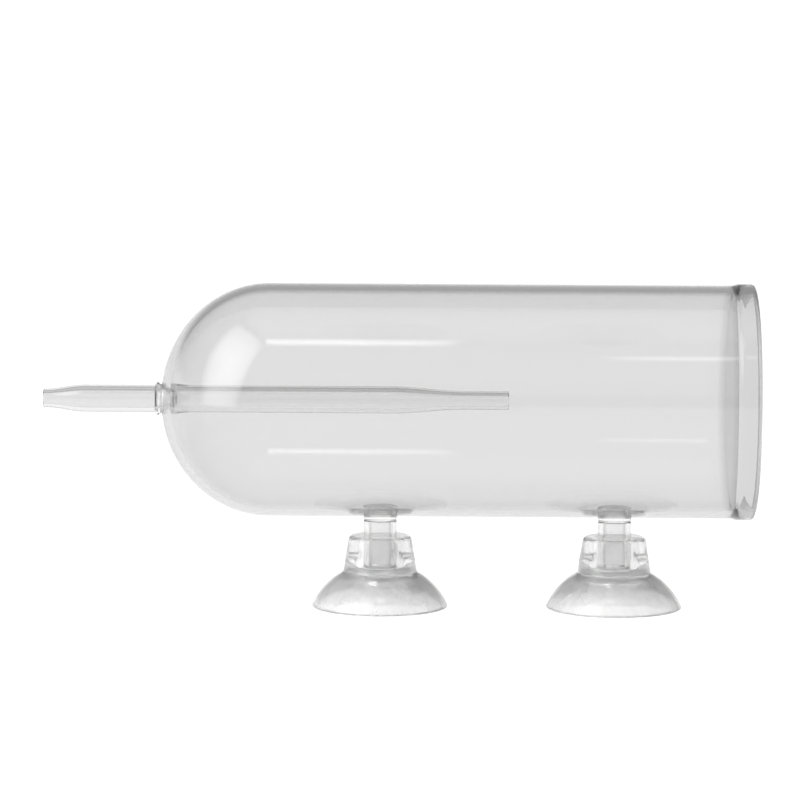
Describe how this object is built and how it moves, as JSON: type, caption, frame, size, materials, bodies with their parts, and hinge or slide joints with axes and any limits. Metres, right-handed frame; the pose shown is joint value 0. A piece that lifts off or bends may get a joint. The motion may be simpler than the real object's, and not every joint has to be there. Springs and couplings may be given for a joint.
{
  "type": "carbon dioxide diffuser",
  "caption": "Glass bell diffuser lying on its side: round-ended bell, central gas tube drawn down at both ends, and clear suction cups on glass pegs.",
  "frame": {"origin": "on the suction plane (the rims of both cups), under the middle of the overall length", "axes": "+X along the bell's axis from the hose end to the open mouth, +Z from the suction plane up through the bell, +Y across"},
  "size_m": [0.1828, 0.0608, 0.084],
  "materials": {
    "glass": "clear flame-worked borosilicate glass, fire-polished",
    "tube_glass": "clear drawn borosilicate tube",
    "bush_vinyl": "clear soft plastic, smooth",
    "cup_vinyl": "clear soft PVC, moulded smooth"
  },
  "bodies": {
    "glass": {"bell": "glass", "gas_tube": "tube_glass", "ring_seal": "glass", "inlet_peg": "glass", "mouth_peg": "glass"},
    "inlet_bush": {"inlet_bush": "bush_vinyl"},
    "inlet_cup": {"inlet_suction_cup": "cup_vinyl"},
    "mouth_bush": {"mouth_bush": "bush_vinyl"},
    "mouth_cup": {"mouth_suction_cup": "cup_vinyl"}
  },
  "joints": [
    {"name": "inlet_cup_pull_off", "type": "slide", "parent": "glass", "child": "inlet_bush", "axis": [0, 0, -1], "range_m": [0, 0.015]},
    {"name": "inlet_cup_swivel", "type": "hinge", "parent": "inlet_bush", "child": "inlet_cup", "pos_m": [-0.00455, 0, 0.0125], "axis": [0, 0, 1], "continuous": true},
    {"name": "mouth_cup_pull_off", "type": "slide", "parent": "glass", "child": "mouth_bush", "axis": [0, 0, -1], "range_m": [0, 0.015]},
    {"name": "mouth_cup_swivel", "type": "hinge", "parent": "mouth_bush", "child": "mouth_cup", "pos_m": [0.05595, 0, 0.0125], "axis": [0, 0, 1], "continuous": true}
  ]
}
